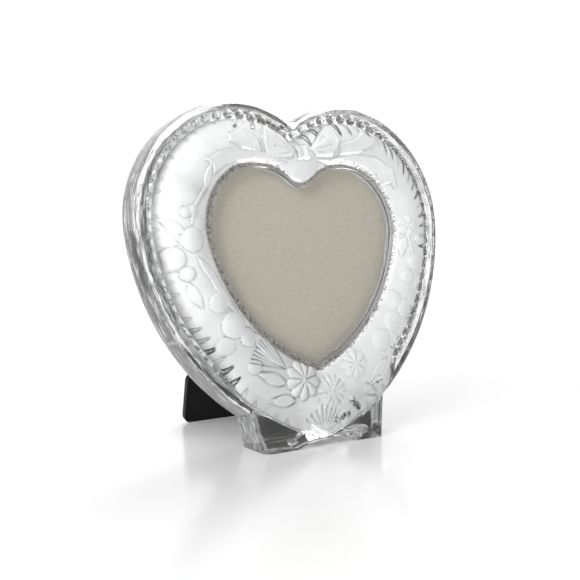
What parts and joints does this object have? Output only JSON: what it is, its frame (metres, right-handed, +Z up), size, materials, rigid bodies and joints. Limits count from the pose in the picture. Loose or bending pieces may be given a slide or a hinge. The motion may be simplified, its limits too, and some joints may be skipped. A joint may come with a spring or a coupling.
{
  "type": "heart shaped photo frame",
  "caption": "Heart shaped pressed glass photo frame on two feet, with a velour covered easel back, turn buttons and a folding strut.",
  "frame": {"origin": "on the table, under the middle of the whole frame as it stands with its strut open", "axes": "+X to the right of someone who looks at the picture, +Y to the rear, +Z up"},
  "size_m": [0.1734, 0.082, 0.1605],
  "materials": {
    "crystal": "polished",
    "pane": "polished",
    "linen_card": "matte",
    "black_velour": "matte",
    "fibreboard": "matte",
    "foam": "matte",
    "grey_card": "matte",
    "plated_brass": "satin"
  },
  "bodies": {
    "frame": {"crystal_frame": "crystal", "window_pane": "pane", "display_card": "linen_card", "foam_pad": "foam", "backing_card": "grey_card", "back_board": "fibreboard", "board_velour": "black_velour", "button_studs": "plated_brass", "button_washers": "plated_brass", "button_nuts": "plated_brass", "hinge_fixed_leaf": "plated_brass", "hinge_pin": "plated_brass", "hinge_screws": "plated_brass"},
    "strut": {"strut_board": "black_velour", "hinge_moving_leaf": "plated_brass", "strut_rivets": "plated_brass"},
    "turn_button_upper_right": {"turn_button_upper_right": "plated_brass"},
    "turn_button_upper_left": {"turn_button_upper_left": "plated_brass"},
    "turn_button_lower_right": {"turn_button_lower_right": "plated_brass"},
    "turn_button_lower_left": {"turn_button_lower_left": "plated_brass"}
  },
  "joints": [
    {"name": "strut_fold", "type": "hinge", "parent": "frame", "child": "strut", "pos_m": [0, 0.00257, 0.09288], "axis": [-1, 0, 0], "range_deg": [0, 31.94]},
    {"name": "turn_button_upper_right_turn", "type": "hinge", "parent": "frame", "child": "turn_button_upper_right", "pos_m": [0.05407, 0.0056, 0.1219], "axis": [0, 0.9851, -0.1719], "continuous": true},
    {"name": "turn_button_upper_left_turn", "type": "hinge", "parent": "frame", "child": "turn_button_upper_left", "pos_m": [-0.05407, 0.0056, 0.1219], "axis": [0, 0.9851, -0.1719], "continuous": true},
    {"name": "turn_button_lower_right_turn", "type": "hinge", "parent": "frame", "child": "turn_button_lower_right", "pos_m": [0.04734, -0.00564, 0.05745], "axis": [0, 0.9851, -0.1719], "continuous": true},
    {"name": "turn_button_lower_left_turn", "type": "hinge", "parent": "frame", "child": "turn_button_lower_left", "pos_m": [-0.04734, -0.00564, 0.05745], "axis": [0, 0.9851, -0.1719], "continuous": true}
  ]
}
